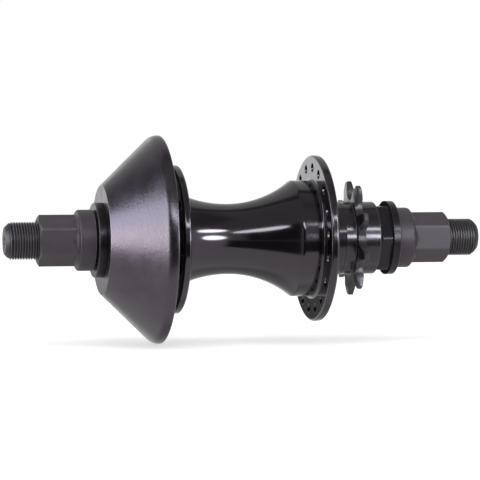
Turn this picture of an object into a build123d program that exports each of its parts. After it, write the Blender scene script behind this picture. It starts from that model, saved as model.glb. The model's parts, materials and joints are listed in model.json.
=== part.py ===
# A BMX cassette hub: 14 mm axle, driver with 9 teeth, two drilled flanges and a guard.
# Lengths are in mm. The axle lies along Y, with the chain at negative Y and the middle of the hub at 0.
# The wheel rolls forward when it turns positively about Y.
# Names with ds are on the chain side, and names with nds on the other.

from build123d import *
from math import atan2, cos, degrees, hypot, pi, radians, sin, sqrt, tan
import os

# Spacing between the two faces that clamp the frame
seat_span = 110.0

# Axle
axle_past_nut = 12.25
thread_r = 7.0
journal_r = 7.5
shoulder_r = 8.8
axle_tip_length = 2.4
axle_tip_depth = 1.9

# Axle nuts, measured outwards from the washer's inner face
nut_across_flats = 17.0
nut_corner_r = 9.65
nut_hex_length = 14.0
nut_cone_length = 1.8
nut_collar_r = 11.45
nut_collar_length = 5.0
nut_edge = 0.5
nut_chamfer_angle = 30.0
nut_chamfer_depth = 1.2
nut_skirt_r = 8.4
nut_lip_r = 9.1
nut_lip_length = 0.7
nut_thread_clearance = 0.05

# Captive washers
washer_r = 14.05
washer_thickness = 3.0
washer_gap = 0.35
washer_edge = 0.4
washer_recess_depth = 1.4
washer_recess_clearance = 0.2
washer_bore_clearance = 0.08

# Guard
guard_face_r = 20.5
guard_cone_angle = 43.9
guard_r = 39.15
guard_rim_length = 2.7
guard_wall = 3.2
guard_plate = 4.2
guard_rim_arc_r = 4.8
guard_edge = 0.6
guard_bore_clearance = 0.1

# Cone nut inside the guard
cone_nut_r = 11.0
cone_nut_flats = 19.0
cone_nut_flat_length = 9.0
cone_nut_boss_r = 9.0
cone_nut_stand_off = 0.4

# Hub shell
nds_seat_to_flange = 26.0
nds_flange_margin = 4.5
nds_flange_thickness = 3.0
nds_root_r = 17.6
nds_boss_wall = 2.8
nds_boss_length = 0.6
nds_pcd = 47.0
ds_seat_to_flange = 26.0
ds_flange_margin = 4.55
ds_flange_thickness = 3.1
ds_pcd = 54.0
flange_edge = 0.9
flange_root = 1.2
cup_wall = 2.05
cup_outer_length = 7.9
cup_corner = 1.4
waist_r = 13.3
waist_from_nds_flange = 19.2
shell_bore_r = 10.8

# Spoke holes
spoke_holes = 18
spoke_hole_r = 1.3
countersink_r = 1.85
countersink_depth = 0.55
ds_hole_turn = -5.5
nds_hole_turn = 4.5

# Bearings: bore radius comes from the journal
shell_bearing_r = 14.0
shell_bearing_width = 7.0
shell_ball_r = 1.984
shell_balls = 11
driver_bearing_r = 12.0
driver_bearing_width = 5.0
driver_ball_r = 1.19
driver_balls = 15
ball_clearance = 0.03
ring_shoulder_share = 0.73
ring_edge = 0.3
seal_thickness = 0.5
seal_recess = 0.15
seal_gap = 0.12
cage_side = 0.4
pocket_clearance = 0.1
cage_ring_gap = 0.7
nds_bearing_recess = 0.6

# Cup on the chain side: from its mouth inwards come the rubber seal, the ratchet ring and the shell bearing
mouth_recess = 0.2
rubber_thickness = 1.9
rubber_lip_gap = 0.1
rubber_lip_thickness = 0.7
rubber_to_ring = 0.4
ring_past_carrier = 0.4
ring_tip_r = 17.0
ring_tooth_depth = 1.8
ring_wall = 1.2
ring_teeth = 36
ring_tip_land_angle = 1.0
cup_floor_step = 0.8

# Driver
driver_r = 13.8
driver_end_gap = 0.4
carrier_ring_gap = 0.8
driver_bearing_recess = 1.4
driver_bore_step = 1.1
driver_groove_from_cog = 5.0
driver_groove_width = 0.5
driver_groove_depth = 0.3
nose_length = 6.55
nose_edge = 0.5
nose_gap = 0.15

# Teeth for a chain of 12.7 mm pitch with 7.75 mm rollers
chain_pitch = 12.7
roller_r = 3.93
cog_teeth = 9
cog_tip_r = 21.9
cog_thickness = 3.0
cog_tip_thickness = 1.7
cog_bevel_depth = 3.6
cog_turn = 13.4
tooth_tip_half_angle = 3.2
roller_seat_half_angle = 67.0

# Pawls
pawl_count = 4
pawl_turn = 20.0
pawl_pivot_depth = 1.7
pawl_heel_r = 1.4
pawl_reach = 7.0
pawl_rest_gap = 1.1
pawl_bite = 0.85
pawl_tip_height = 2.0
pawl_top_run = 1.8
pawl_swing = 9.0
pawl_width = 6.4
pawl_side_gap = 0.1
pawl_heel_gap = 0.05
pawl_floor_gap = 0.4
pawl_front_gap = 0.5
pawl_outer_wall = 0.6
pawl_inner_wall = 1.0
spring_width = 4.0
spring_thickness = 0.2
spring_foot_share = 0.45
spring_bend_share = 0.62
spring_touch_share = 0.88
spring_gap = 0.03

# Locknut
locknut_across_flats = 24.0
locknut_corner_r = 13.75
locknut_thickness = 4.6
locknut_chamfer_depth = 0.9
locknut_boss = 0.5
locknut_turn = 30.0

# Spacer sleeves on the axle
spacer_wall = 1.2

# Radii and widths that follow from these
nds_flange_r = nds_pcd / 2 + nds_flange_margin
ds_flange_r = ds_pcd / 2 + ds_flange_margin
nds_boss_r = shell_bearing_r + nds_boss_wall
ring_root_r = ring_tip_r + ring_tooth_depth
ring_outer_r = ring_root_r + ring_wall
cup_outer_r = ring_outer_r + cup_wall
carrier_r = ring_tip_r - carrier_ring_gap
carrier_length = pawl_outer_wall + pawl_width + 2 * pawl_side_gap + pawl_inner_wall
ring_width = ring_past_carrier + carrier_length + driver_end_gap
ring_pitch = 360 / ring_teeth
driver_bore_r = driver_bearing_r - driver_bore_step
driver_shoulder_r = journal_r + (driver_bearing_r - journal_r) / 2 - driver_ball_r * ring_shoulder_share
spacer_r = min(journal_r + spacer_wall, driver_shoulder_r)
washer_bore_r = nut_skirt_r + washer_bore_clearance
washer_recess_r = nut_lip_r + washer_recess_clearance
nut_bore_r = thread_r + nut_thread_clearance

# Places along the axle
seat = seat_span / 2
washer_out = seat + washer_thickness
collar_in = washer_out + washer_gap
collar_out = collar_in + nut_collar_length
hex_in = collar_out + nut_cone_length
hex_out = hex_in + nut_hex_length
axle_end = hex_out + axle_past_nut
nut_skirt_end = seat + (washer_recess_depth - nut_lip_length) / 2
guard_corner = seat - (guard_r - guard_face_r) / tan(radians(guard_cone_angle))
guard_back = guard_corner - guard_rim_length
guard_plate_face = seat - guard_plate
nds_flange_outer = seat - nds_seat_to_flange
nds_flange_inner = nds_flange_outer - nds_flange_thickness
nds_shell_end = nds_flange_outer + nds_boss_length
nds_bearing_out = nds_shell_end - nds_bearing_recess
nds_bearing_in = nds_bearing_out - shell_bearing_width
ds_mouth = -(seat - ds_seat_to_flange)
ds_flange_inner = ds_mouth + ds_flange_thickness
rubber_out = ds_mouth + mouth_recess
rubber_in = rubber_out + rubber_thickness
ring_out = rubber_in + rubber_to_ring
cup_floor = ring_out + ring_width
ds_bearing_out = cup_floor + cup_floor_step
ds_bearing_in = ds_bearing_out + shell_bearing_width
driver_in = cup_floor - driver_end_gap
carrier_out = driver_in - carrier_length
inner_driver_bearing_in = driver_in - driver_bearing_recess
inner_driver_bearing_out = inner_driver_bearing_in - driver_bearing_width
locknut_face = -(seat - locknut_thickness)
nose_end = locknut_face + nose_gap
outer_driver_bearing_out = locknut_face + locknut_boss
outer_driver_bearing_in = outer_driver_bearing_out + driver_bearing_width
cog_out = nose_end + nose_length
cog_in = cog_out + cog_thickness
waist = nds_flange_inner - waist_from_nds_flange


# Shapes shared by several pieces

def across(y, turn=0.0):
    """The plane square to the axle at y. Its angles start at +Z and grow towards +X."""
    return Plane(origin=(0, y, 0), x_dir=(0, 0, 1), z_dir=(0, 1, 0)) * Rot(0, 0, turn)


def turned(*corners):
    """A solid of revolution about the axle from (y, r) corners, each with an optional rounding radius."""
    points = [corner[:2] for corner in corners]
    rounding = [corner[2] if len(corner) == 3 else 0 for corner in corners]
    outline = FilletPolyline(*points, radius=rounding, close=True)
    return revolve(Plane.YZ * make_face(outline), Axis.Y)


def tube(low, high, inner_r, outer_r):
    return turned((low, inner_r), (high, inner_r), (high, outer_r), (low, outer_r))


def slab(low, high, sketch, turn=0.0):
    """A flat sketch across the axle, made solid from y = low to y = high."""
    return extrude(across(low, turn) * sketch, high - low)


def hex_prism(low, high, across_flats, turn):
    return slab(low, high, RegularPolygon(across_flats / 2, 6, major_radius=False, rotation=turn))


def facing(side, solid):
    """A piece made for the +Y end, or the same piece turned round for the other end."""
    return solid if side > 0 else Rot(0, 0, 180) * solid


def polar(radius, angle):
    return Vector(radius, 0).rotate(Axis.Z, angle)


def square_to(direction):
    """A unit step to the right of a direction."""
    return direction.normalized().rotate(Axis.Z, -90)


def between(first, second, share):
    return first + (second - first) * share


# Axle

def make_axle():
    tip_r = thread_r - axle_tip_depth
    return turned(
        (-axle_end, 0),
        (-axle_end, tip_r),
        (-axle_end + axle_tip_length, thread_r),
        (locknut_face + locknut_boss, thread_r),
        (locknut_face + locknut_boss, journal_r),
        (ds_bearing_in, journal_r),
        (ds_bearing_in, shoulder_r),
        (nds_bearing_in, shoulder_r),
        (nds_bearing_in, journal_r),
        (nds_bearing_out, journal_r),
        (nds_bearing_out, thread_r),
        (axle_end - axle_tip_length, thread_r),
        (axle_end, tip_r),
        (axle_end, 0),
    )


# Axle nuts and their washers, made for the +Y end

def make_axle_nut():
    hexagon = hex_prism(collar_out, hex_out, nut_across_flats, 0)
    chamfer_run = nut_chamfer_depth * tan(radians(nut_chamfer_angle))
    envelope = turned(
        (collar_out, 0),
        (collar_out, nut_corner_r),
        (hex_out - chamfer_run, nut_corner_r),
        (hex_out, nut_corner_r - nut_chamfer_depth),
        (hex_out, 0),
    )
    body = turned(
        (nut_skirt_end, 0),
        (nut_skirt_end, nut_lip_r),
        (nut_skirt_end + nut_lip_length, nut_lip_r),
        (nut_skirt_end + nut_lip_length, nut_skirt_r),
        (collar_in, nut_skirt_r),
        (collar_in, nut_collar_r, nut_edge),
        (collar_out, nut_collar_r, nut_edge),
        (hex_in, nut_corner_r),
        (hex_in, 0),
    )
    return body + (hexagon & envelope) - tube(0, axle_end, 0, nut_bore_r)


def make_washer():
    recess_end = seat + washer_recess_depth
    return turned(
        (seat, washer_recess_r),
        (recess_end, washer_recess_r),
        (recess_end, washer_bore_r),
        (washer_out, washer_bore_r),
        (washer_out, washer_r, washer_edge),
        (seat, washer_r, washer_edge),
    )


# Guard and the nut inside it

def make_guard():
    slope = tan(radians(guard_cone_angle))
    bore_r = thread_r + guard_bore_clearance
    inner_shift = guard_wall / cos(radians(guard_cone_angle))
    plate_inner_r = guard_face_r + guard_plate * slope - inner_shift
    rim_inner_r = guard_r - guard_wall
    rim_inner_y = guard_plate_face - (rim_inner_r - plate_inner_r) / slope
    return turned(
        (seat, bore_r),
        (seat, guard_face_r, guard_edge),
        (guard_corner, guard_r, guard_rim_arc_r),
        (guard_back, guard_r, guard_edge),
        (guard_back, rim_inner_r, guard_edge),
        (rim_inner_y, rim_inner_r),
        (guard_plate_face, plate_inner_r),
        (guard_plate_face, bore_r),
    )


def make_cone_nut():
    body_in = nds_shell_end + cone_nut_stand_off
    blank = turned(
        (nds_bearing_out, thread_r),
        (nds_bearing_out, cone_nut_boss_r),
        (body_in, cone_nut_boss_r),
        (body_in, cone_nut_r, nut_edge),
        (guard_plate_face, cone_nut_r, nut_edge),
        (guard_plate_face, thread_r),
    )
    flat_out = body_in + cone_nut_flat_length
    middle = (body_in + flat_out) / 2
    trim = 2 * cone_nut_r
    for side in (-1, 1):
        offset = side * (cone_nut_flats / 2 + trim / 2)
        blank -= Pos(offset, middle, 0) * Box(trim, cone_nut_flat_length, trim)
    return blank


# Hub shell

def spoke_hole_tools(outer, inner, pcd, turn):
    """Drills through a flange, countersunk on both of its faces."""
    low, high = min(outer, inner), max(outer, inner)
    profile = turned(
        (low, 0),
        (low, countersink_r),
        (low + countersink_depth, spoke_hole_r),
        (high - countersink_depth, spoke_hole_r),
        (high, countersink_r),
        (high, 0),
    )
    step = 360 / spoke_holes
    return [Rot(0, turn + step * i, 0) * Pos(0, 0, pcd / 2) * profile for i in range(spoke_holes)]


def make_shell():
    waist_point = (waist, waist_r)
    cup_start = ds_flange_inner + cup_outer_length
    nds_root = (nds_flange_inner, nds_root_r)
    cup_point = (cup_start, cup_outer_r)
    cup_root = (ds_flange_inner, cup_outer_r)
    outline = [
        TangentArc(waist_point, nds_root, tangent=(1, 0)),
        Polyline(
            nds_root,
            (nds_flange_inner, nds_flange_r),
            (nds_flange_outer, nds_flange_r),
            (nds_flange_outer, nds_boss_r),
            (nds_shell_end, nds_boss_r),
            (nds_shell_end, shell_bearing_r),
            (nds_bearing_in, shell_bearing_r),
            (nds_bearing_in, shell_bore_r),
            (ds_bearing_in, shell_bore_r),
            (ds_bearing_in, shell_bearing_r),
            (cup_floor, shell_bearing_r),
            (cup_floor, ring_outer_r),
            (ds_mouth, ring_outer_r),
            (ds_mouth, ds_flange_r),
            (ds_flange_inner, ds_flange_r),
            cup_root,
            cup_point,
        ),
        TangentArc(waist_point, cup_point, tangent=(-1, 0)),
    ]
    face = make_face(outline)
    roundings = [
        ((nds_flange_inner, nds_flange_r), flange_edge),
        ((nds_flange_outer, nds_flange_r), flange_edge),
        ((ds_mouth, ds_flange_r), flange_edge),
        ((ds_flange_inner, ds_flange_r), flange_edge),
        (nds_root, flange_root),
        (cup_root, flange_root),
        (cup_point, cup_corner),
    ]
    for place, radius in roundings:
        corner = face.vertices().sort_by_distance((*place, 0))[0]
        face = fillet(corner, radius)
    shell = revolve(Plane.YZ * face, Axis.Y)
    holes = spoke_hole_tools(nds_flange_outer, nds_flange_inner, nds_pcd, nds_hole_turn)
    holes += spoke_hole_tools(ds_mouth, ds_flange_inner, ds_pcd, ds_hole_turn)
    return shell - holes


def make_ratchet_ring():
    """Saw teeth inside: each has a steep face for the pawls and a ramp that lifts them."""
    points = []
    for i in range(ring_teeth):
        steep = -i * ring_pitch
        points += [
            polar(ring_tip_r, steep + ring_tip_land_angle),
            polar(ring_tip_r, steep),
            polar(ring_root_r, steep),
        ]
    opening = slab(ring_out, cup_floor, make_face(Polyline(*points, close=True)))
    return tube(ring_out, cup_floor, ring_tip_r / 2, ring_outer_r) - opening


def make_driver_seal():
    """Rubber ring in the mouth of the cup, with a thin lip that nearly meets the driver."""
    lip_r = driver_r + rubber_lip_gap
    body_r = lip_r + rubber_thickness
    return turned(
        (rubber_out, body_r),
        (rubber_out, ring_outer_r),
        (rubber_in, ring_outer_r),
        (rubber_in, lip_r),
        (rubber_in - rubber_lip_thickness, lip_r),
    )


# Bearings

def make_bearing(name, low, width, outer_r, ball_r, balls):
    """One sealed bearing from y = low, as its six pieces. Its bore is the journal's."""
    high = low + width
    middle = low + width / 2
    pitch_r = (journal_r + outer_r) / 2
    shoulder = ball_r * ring_shoulder_share
    inner_shoulder_r = pitch_r - shoulder
    outer_shoulder_r = pitch_r + shoulder
    groove = Pos(0, middle, 0) * Rot(90, 0, 0) * Torus(pitch_r, ball_r + ball_clearance)
    inner_ring = turned(
        (low, journal_r, ring_edge),
        (high, journal_r, ring_edge),
        (high, inner_shoulder_r),
        (low, inner_shoulder_r),
    )
    outer_ring = turned(
        (low, outer_shoulder_r),
        (high, outer_shoulder_r),
        (high, outer_r, ring_edge),
        (low, outer_r, ring_edge),
    )
    ball_places = [Rot(0, 360 / balls * i, 0) * Pos(0, middle, pitch_r) for i in range(balls)]
    cage_half = ball_r + pocket_clearance + cage_side
    cage_band = tube(
        middle - cage_half,
        middle + cage_half,
        pitch_r - shoulder * cage_ring_gap,
        pitch_r + shoulder * cage_ring_gap,
    )
    pockets = [place * Sphere(ball_r + pocket_clearance) for place in ball_places]
    seal_starts = (low + seal_recess, high - seal_recess - seal_thickness)
    seals = [tube(y, y + seal_thickness, inner_shoulder_r + seal_gap, outer_shoulder_r) for y in seal_starts]
    return {
        f"{name}_inner_ring": inner_ring - groove,
        f"{name}_outer_ring": outer_ring - groove,
        f"{name}_balls": Compound(children=[place * Sphere(ball_r) for place in ball_places]),
        f"{name}_cage": cage_band - pockets,
        f"{name}_seals": Compound(children=seals),
    }


# Driver with its teeth

def make_cog():
    """A disc with a gap cut for each roller of the chain: a round seat and two curved flanks."""
    pitch_r = chain_pitch / 2 / sin(pi / cog_teeth)
    half_gap = radians(180 / cog_teeth - tooth_tip_half_angle)
    seat_angle = radians(roller_seat_half_angle)
    toward = (-cos(seat_angle), sin(seat_angle))
    seat_end = (pitch_r + roller_r * toward[0], roller_r * toward[1])
    tip = (cog_tip_r * cos(half_gap), cog_tip_r * sin(half_gap))
    run = (tip[0] - seat_end[0], tip[1] - seat_end[1])
    flank_r = (run[0] ** 2 + run[1] ** 2) / (2 * (run[0] * toward[0] + run[1] * toward[1]))
    centre = (seat_end[0] + flank_r * toward[0], seat_end[1] + flank_r * toward[1])
    middle = ((seat_end[0] + tip[0]) / 2 - centre[0], (seat_end[1] + tip[1]) / 2 - centre[1])
    scale = flank_r / hypot(*middle)
    bulge = (centre[0] + middle[0] * scale, centre[1] + middle[1] * scale)
    beyond = (2 * tip[0], 2 * tip[1])
    below = [(x, -y) for x, y in (seat_end, bulge, tip, beyond)]
    gap = make_face([
        ThreePointArc(below[0], (pitch_r - roller_r, 0), seat_end),
        ThreePointArc(seat_end, bulge, tip),
        Polyline(tip, beyond, below[3], below[2]),
        ThreePointArc(below[2], below[1], below[0]),
    ])
    low, high = min(cog_in, cog_out), max(cog_in, cog_out)
    bevel = (cog_thickness - cog_tip_thickness) / 2
    bevel_r = cog_tip_r - cog_bevel_depth
    disc = turned(
        (low, 0),
        (low, bevel_r),
        (low + bevel, cog_tip_r),
        (high - bevel, cog_tip_r),
        (high, bevel_r),
        (high, 0),
    )
    step = 360 / cog_teeth
    gaps = [slab(low, high, gap, cog_turn + step * (i + 0.5)) for i in range(cog_teeth)]
    return disc - gaps


# Pawls. Their outline at rest lies in a plane across the axle: x points outwards, and y the way
# the driver pushes.

def swung(point):
    """Where a point of the pawl lies when the pawl is pressed all the way in."""
    return (point - pawl_pivot).rotate(Axis.Z, pawl_swing) + pawl_pivot


ramp = (polar(ring_tip_r, ring_tip_land_angle - ring_pitch) - polar(ring_root_r, 0)).normalized()
pawl_offset = pawl_rest_gap + pawl_reach
pawl_pivot_r = carrier_r - pawl_pivot_depth
pawl_tip_r = ring_tip_r + pawl_bite
pawl_pivot = Vector(sqrt(pawl_pivot_r ** 2 - pawl_offset ** 2), -pawl_offset)
pawl_tip = Vector(sqrt(pawl_tip_r ** 2 - pawl_rest_gap ** 2), -pawl_rest_gap)
pawl_top = pawl_tip + ramp * pawl_top_run
pawl_tip_bottom = pawl_tip - Vector(pawl_tip_height, 0)
heel_side = square_to(pawl_top - pawl_pivot) * pawl_heel_r
heel_top = pawl_pivot + heel_side
heel_bottom = pawl_pivot - heel_side

# The pocket's floor lies under the pawl when it is pressed in, with room for the flattened leaf
underside = (swung(pawl_tip_bottom) - swung(heel_bottom)).normalized()
floor_start = swung(heel_bottom) - square_to(underside) * pawl_heel_gap
floor_end = swung(pawl_tip_bottom) - square_to(underside) * pawl_floor_gap + underside * pawl_front_gap
pocket_out = carrier_out + pawl_outer_wall
pocket_in = pocket_out + pawl_width + 2 * pawl_side_gap


def make_pawl(turn):
    arm = make_face(Polyline(heel_top, pawl_top, pawl_tip, pawl_tip_bottom, heel_bottom, close=True))
    heel = Pos(pawl_pivot) * Circle(pawl_heel_r)
    return slab(pocket_out + pawl_side_gap, pocket_in - pawl_side_gap, arm + heel, turn)


def make_pocket(turn):
    """The cut for one pawl: a round socket for its heel, and a space for its arm that is open outwards."""
    back_angle = degrees(atan2(heel_top.Y, heel_top.X))
    front_angle = degrees(atan2(floor_end.Y, floor_end.X))
    clear_r = carrier_r / cos(radians((front_angle - back_angle) / 2)) + pawl_heel_r
    space = make_face(Polyline(
        pawl_pivot,
        heel_top,
        polar(clear_r, back_angle),
        polar(clear_r, front_angle),
        floor_end,
        floor_start,
        close=True,
    ))
    socket = Pos(pawl_pivot) * Circle(pawl_heel_r + pawl_heel_gap)
    return slab(pocket_out, pocket_in, space + socket, turn)


def make_pawl_spring(turn):
    """A leaf with its foot on the pocket's floor, which rises to the underside of the pawl."""
    rise = square_to(floor_end - floor_start)
    down = square_to(pawl_tip_bottom - heel_bottom) * -1
    foot = between(floor_start, floor_end, spring_foot_share)
    bend = between(floor_start, floor_end, spring_bend_share)
    touch = between(heel_bottom, pawl_tip_bottom, spring_touch_share) + down * spring_gap
    leaf = make_face(Polyline(
        foot,
        bend,
        touch + down * spring_thickness,
        touch,
        bend + rise * spring_thickness,
        foot + rise * spring_thickness,
        close=True,
    ))
    middle = (pocket_out + pocket_in) / 2
    return slab(middle - spring_width / 2, middle + spring_width / 2, leaf, turn)


def make_driver():
    groove_middle = cog_in + driver_groove_from_cog
    body = turned(
        (driver_in, driver_bearing_r),
        (driver_in, carrier_r),
        (carrier_out, carrier_r),
        (carrier_out, driver_r),
        (groove_middle + driver_groove_width / 2, driver_r),
        (groove_middle, driver_r - driver_groove_depth),
        (groove_middle - driver_groove_width / 2, driver_r),
        (nose_end, driver_r, nose_edge),
        (nose_end, driver_bearing_r),
        (outer_driver_bearing_in, driver_bearing_r),
        (outer_driver_bearing_in, driver_bore_r),
        (inner_driver_bearing_out, driver_bore_r),
        (inner_driver_bearing_out, driver_bearing_r),
    )
    cog = make_cog() - tube(cog_out, cog_in, 0, (driver_bore_r + driver_r) / 2)
    turns = [pawl_turn + 360 / pawl_count * i for i in range(pawl_count)]
    return body + cog - [make_pocket(turn) for turn in turns]


# Locknut and spacers

def make_locknut():
    hexagon = hex_prism(-seat, locknut_face, locknut_across_flats, locknut_turn)
    end_r = locknut_corner_r - locknut_chamfer_depth
    run = locknut_chamfer_depth * tan(radians(nut_chamfer_angle))
    envelope = turned(
        (-seat, 0),
        (-seat, end_r),
        (-seat + run, locknut_corner_r),
        (locknut_face - run, locknut_corner_r),
        (locknut_face, end_r),
        (locknut_face, 0),
    )
    boss = tube(locknut_face, locknut_face + locknut_boss, thread_r, spacer_r)
    return (hexagon & envelope) - tube(-seat, locknut_face, 0, thread_r) + boss


# The whole hub

pieces = {
    "axle": make_axle(),
    "hub_guard": make_guard(),
    "nds_cone_nut": make_cone_nut(),
    "hub_shell": make_shell(),
    "ratchet_ring": make_ratchet_ring(),
    "driver_seal": make_driver_seal(),
    "driver": make_driver(),
    "ds_locknut": make_locknut(),
    "shell_driver_spacer": tube(inner_driver_bearing_in, ds_bearing_out, journal_r, spacer_r),
    "driver_bearing_spacer": tube(outer_driver_bearing_in, inner_driver_bearing_out, journal_r, spacer_r),
}

for side, label in ((1, "nds"), (-1, "ds")):
    pieces[f"{label}_axle_nut"] = facing(side, make_axle_nut())
    pieces[f"{label}_nut_washer"] = facing(side, make_washer())

shell_bearing = (shell_bearing_width, shell_bearing_r, shell_ball_r, shell_balls)
driver_bearing = (driver_bearing_width, driver_bearing_r, driver_ball_r, driver_balls)
pieces.update(make_bearing("nds_shell_bearing", nds_bearing_in, *shell_bearing))
pieces.update(make_bearing("ds_shell_bearing", ds_bearing_out, *shell_bearing))
pieces.update(make_bearing("inner_driver_bearing", inner_driver_bearing_out, *driver_bearing))
pieces.update(make_bearing("outer_driver_bearing", outer_driver_bearing_out, *driver_bearing))

springs = []
for i in range(pawl_count):
    turn = pawl_turn + 360 / pawl_count * i
    pieces[f"pawl_{i + 1}"] = make_pawl(turn)
    springs.append(make_pawl_spring(turn))
pieces["pawl_springs"] = Compound(children=springs)

os.makedirs("parts", exist_ok=True)
for name, piece in pieces.items():
    export_step(piece, f"parts/{name}.step")
print(len(pieces), "pieces, overall length", 2 * axle_end)
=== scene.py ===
import json
import math

import bpy
import bmesh
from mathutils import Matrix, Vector


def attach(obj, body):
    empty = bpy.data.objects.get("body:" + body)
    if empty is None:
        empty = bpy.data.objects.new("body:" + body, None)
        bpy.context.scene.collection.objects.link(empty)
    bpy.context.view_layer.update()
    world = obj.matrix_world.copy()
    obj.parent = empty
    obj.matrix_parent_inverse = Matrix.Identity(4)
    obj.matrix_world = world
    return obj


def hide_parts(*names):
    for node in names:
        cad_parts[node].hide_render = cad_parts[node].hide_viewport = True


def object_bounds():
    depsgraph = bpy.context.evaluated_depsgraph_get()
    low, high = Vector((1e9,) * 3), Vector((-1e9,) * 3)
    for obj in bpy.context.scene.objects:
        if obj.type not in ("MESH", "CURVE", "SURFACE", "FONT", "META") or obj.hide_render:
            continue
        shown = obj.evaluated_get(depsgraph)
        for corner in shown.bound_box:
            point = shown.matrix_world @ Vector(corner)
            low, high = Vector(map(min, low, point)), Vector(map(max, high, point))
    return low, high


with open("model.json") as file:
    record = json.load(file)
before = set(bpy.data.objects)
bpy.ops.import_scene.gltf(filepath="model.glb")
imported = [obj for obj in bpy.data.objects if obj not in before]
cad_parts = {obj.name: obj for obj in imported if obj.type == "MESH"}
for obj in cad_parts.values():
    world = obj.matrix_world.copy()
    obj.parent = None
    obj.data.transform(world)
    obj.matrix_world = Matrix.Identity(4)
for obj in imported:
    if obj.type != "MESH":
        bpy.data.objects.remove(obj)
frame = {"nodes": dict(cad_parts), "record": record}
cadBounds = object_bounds()
print("frame loaded with", len(frame["nodes"]), "nodes")

# Sizes below are in mm. The axle lies along Y, and angles about it start at +Z and grow towards +X.
mm = 0.001
seat = 55.0             # the faces that clamp the frame stand at plus and minus this
holdGap = 0.06          # a row this far from a rounding keeps the flat beside it flat in shading
holdRoom = 3 * holdGap  # a shorter flat than this gets no such row
wearAndSheenRounding = 1.1      # larger roundings than this don't get the edge colour of wear and painted highlight
axisRadius = 1e-6       # a row nearer the axis than this is one point on it
weldGap = 1e-8          # in metres: points nearer to each other than this become one
sharpAngle = math.radians(32)


# Meshes from rows round the axle

# Rows of (y, r, edge) along an outline of (y, r, rounding) corners. Edge is 1 on a small rounding, which
# takes a lighter edge colour: wear, and a painted highlight along the edge.
def outlineRows(corners, arcSteps=5):
    rows = []
    count = len(corners)
    for i, corner in enumerate(corners):
        here = Vector(corner[:2])
        rounding = corner[2] if len(corner) > 2 else 0
        if not rounding:
            rows.append((here.x, here.y, 0.0))
            continue
        toBefore = Vector(corners[i - 1][:2]) - here
        toAfter = Vector(corners[(i + 1) % count][:2]) - here
        half = toBefore.angle(toAfter) / 2
        reach = rounding / math.tan(half)
        start = here + toBefore.normalized() * reach
        finish = here + toAfter.normalized() * reach
        inward = (toBefore.normalized() + toAfter.normalized()).normalized()
        centre = here + inward * (rounding / math.sin(half))
        startAngle = math.atan2(start.y - centre.y, start.x - centre.x)
        sweep = math.atan2(finish.y - centre.y, finish.x - centre.x) - startAngle
        sweep = (sweep + math.pi) % (2 * math.pi) - math.pi
        edge = 1.0 if rounding < wearAndSheenRounding else 0.0
        if toBefore.length > reach + holdRoom:
            hold = start + toBefore.normalized() * holdGap
            rows.append((hold.x, hold.y, 0.0))
        for k in range(arcSteps + 1):
            angle = startAngle + sweep * k / arcSteps
            y = centre.x + rounding * math.cos(angle)
            r = centre.y + rounding * math.sin(angle)
            rows.append((y, r, edge))
        if toAfter.length > reach + holdRoom:
            hold = finish + toAfter.normalized() * holdGap
            rows.append((hold.x, hold.y, 0.0))
    return rows


# Where a row stands at an angle: a row is a fixed (y, r, edge), or a function that gives one.
def rowAt(row, angle):
    return row(angle) if callable(row) else row


def evenAngles(count):
    return [2 * math.pi * i / count for i in range(count)]


# A mesh through the rows at each angle. A closed loop of rows makes a tube, and an open one starts and
# ends on the axis or stays open. Side -1 turns the piece round for the other end of the axle.
def rowMesh(rows, angles, closed=True, side=1):
    mesh = bmesh.new()
    edgeLayer = mesh.verts.layers.float.new("edgeWear")
    rings = []
    for row in rows:
        ring = []
        for angle in angles:
            y, r, edge = rowAt(row, angle)
            if r < axisRadius and ring:
                ring.append(ring[0])
                continue
            place = Vector((r * math.sin(angle) * side, y * side, r * math.cos(angle))) * mm
            vert = mesh.verts.new(place)
            vert[edgeLayer] = edge
            ring.append(vert)
        rings.append(ring)
    pairs = list(zip(rings[:-1], rings[1:]))
    if closed:
        pairs.append((rings[-1], rings[0]))
    count = len(angles)
    for low, high in pairs:
        for i in range(count):
            j = (i + 1) % count
            corners = []
            for vert in (low[i], low[j], high[j], high[i]):
                if vert not in corners:
                    corners.append(vert)
            if len(corners) > 2:
                mesh.faces.new(corners)
    bmesh.ops.remove_doubles(mesh, verts=mesh.verts, dist=weldGap)
    bmesh.ops.recalc_face_normals(mesh, faces=mesh.faces)
    return mesh


def newObject(name, data):
    thing = bpy.data.objects.new(name, data)
    bpy.context.scene.collection.objects.link(thing)
    return thing


def newPiece(name, mesh, material):
    data = bpy.data.meshes.new(name)
    mesh.to_mesh(data)
    mesh.free()
    return addPiece(name, data, material)


def addPiece(name, data, material):
    data.name = name
    data.materials.clear()
    data.materials.append(material)
    data.shade_smooth()
    data.set_sharp_from_angle(angle=sharpAngle)
    return newObject(name, data)


# Says what body a finished piece rides on and which node it stands for.
def settle(piece, body, node):
    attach(piece, body)
    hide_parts(node)
    print(piece.name, "on", body, "with", len(piece.data.polygons), "faces")


# Node trees

# Gives a socket its value, a constant or the output of another node.
def feed(tree, socket, value):
    if isinstance(value, bpy.types.NodeSocket):
        tree.links.new(value, socket)
    else:
        socket.default_value = value


# Makes the Math nodes of one tree, so that calc("ADD", a, b) there is the sum of two values.
def mathIn(tree):
    def calc(operation, *values):
        node = tree.nodes.new("ShaderNodeMath")
        node.operation = operation
        for socket, value in zip(node.inputs, values):
            feed(tree, socket, value)
        return node.outputs[0]
    return calc


# A mix of two values of a kind, FLOAT or RGBA
def mixIn(tree, kind, share, first, second):
    mix = tree.nodes.new("ShaderNodeMix")
    mix.data_type = kind
    for label, value in (("Factor", share), ("A", first), ("B", second)):
        feed(tree, mix.inputs[label], value)
    return mix.outputs["Result"]


# The kind of socket for each kind of value
socketKinds = (
    (int, "Int"), (float, "Float"), (bpy.types.Object, "Object"), (bpy.types.Material, "Material"),
)


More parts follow.
